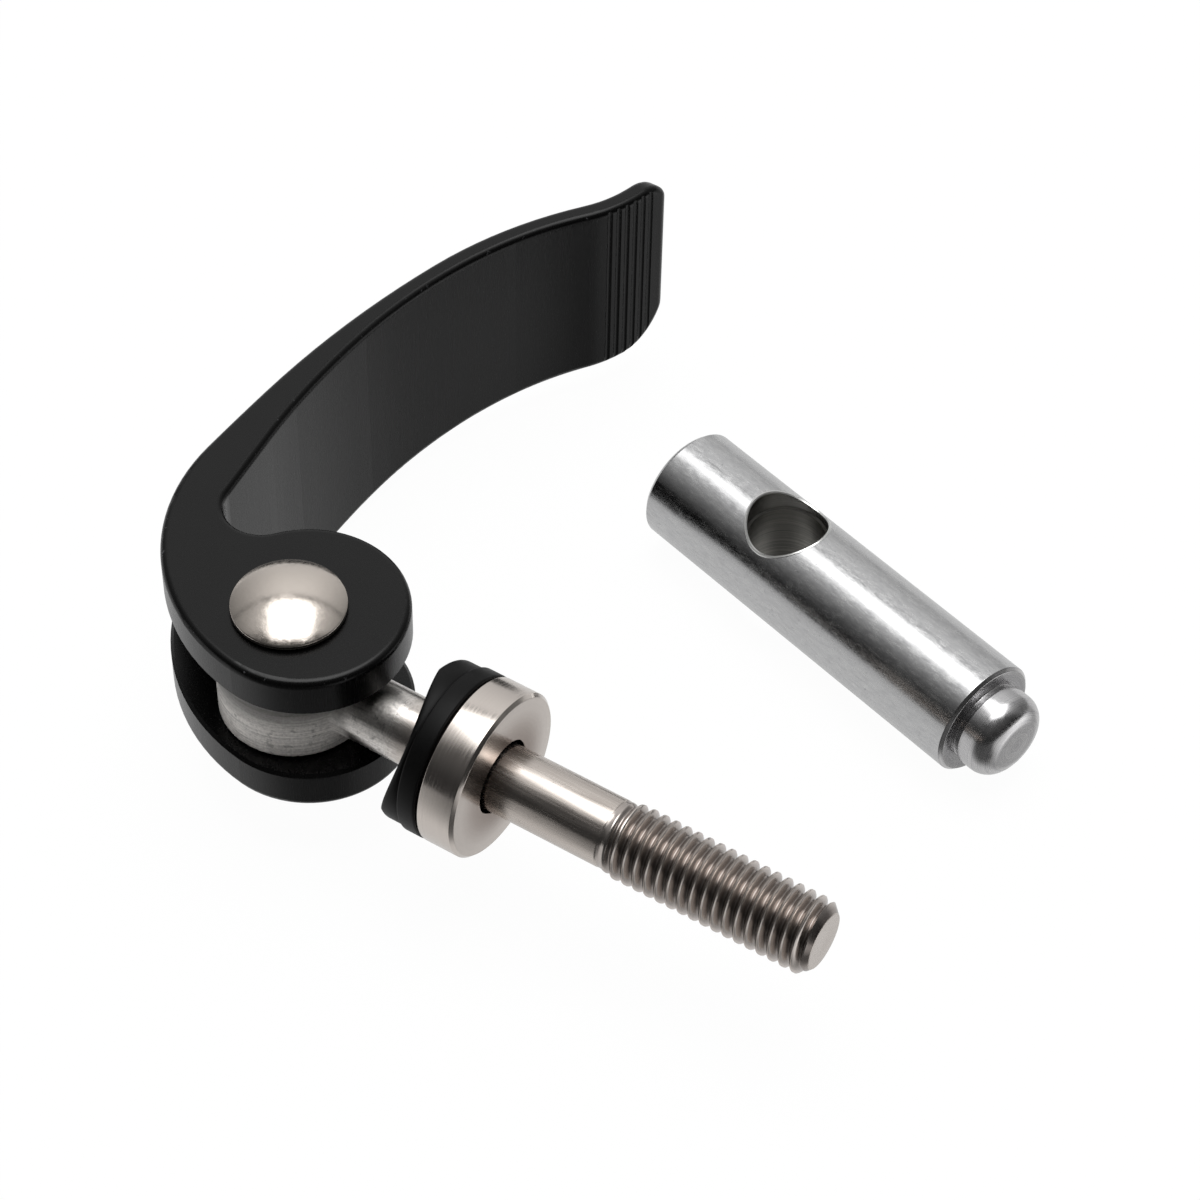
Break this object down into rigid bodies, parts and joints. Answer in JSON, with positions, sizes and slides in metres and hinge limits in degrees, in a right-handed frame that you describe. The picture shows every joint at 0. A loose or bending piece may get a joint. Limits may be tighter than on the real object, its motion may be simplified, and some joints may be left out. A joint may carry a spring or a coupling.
{
  "type": "folding handlebar quick release lever",
  "caption": "Quick release for a folding handlebar: curved cam lever with a forked head riveted to an M8 eye bolt, with saddle washer, thrust washer and cross-drilled barrel nut",
  "frame": {"origin": "on the bolt's axis where its thread begins", "axes": "+X along the bolt towards its threaded end, +Z along the pivot rivet towards its domed head, +Y the side to which the blade lies"},
  "size_m": [0.0832, 0.0846, 0.0287],
  "materials": {
    "black_coat": "satin black coat on cast aluminium",
    "nickel": "polished nickel plate",
    "bolt_steel": "bright rolled and turned steel, blasted eye",
    "black_nylon": "moulded black nylon",
    "turned_steel": "turned stainless steel",
    "raw_steel": "drawn bright steel bar with turned shoulder and nipple"
  },
  "bodies": {
    "bolt": {"eye_bolt": "bolt_steel", "barrel_nut": "raw_steel"},
    "lever": {"lever": "black_coat", "pivot_rivet": "nickel"},
    "washer": {"steel_washer": "turned_steel"},
    "saddle": {"cam_saddle_washer": "black_nylon"}
  },
  "joints": [
    {"name": "lever_pivot", "type": "hinge", "parent": "bolt", "child": "lever", "pos_m": [-0.0382, 0, 0], "axis": [0, 0, 1], "range_deg": [-12, 130]},
    {"name": "washer_slide", "type": "slide", "parent": "bolt", "child": "washer", "axis": [1, 0, 0], "range_m": [-0.0025, 0.03]},
    {"name": "saddle_turn", "type": "hinge", "parent": "washer", "child": "saddle", "pos_m": [-0.02, 0, 0], "axis": [1, 0, 0], "continuous": true}
  ]
}
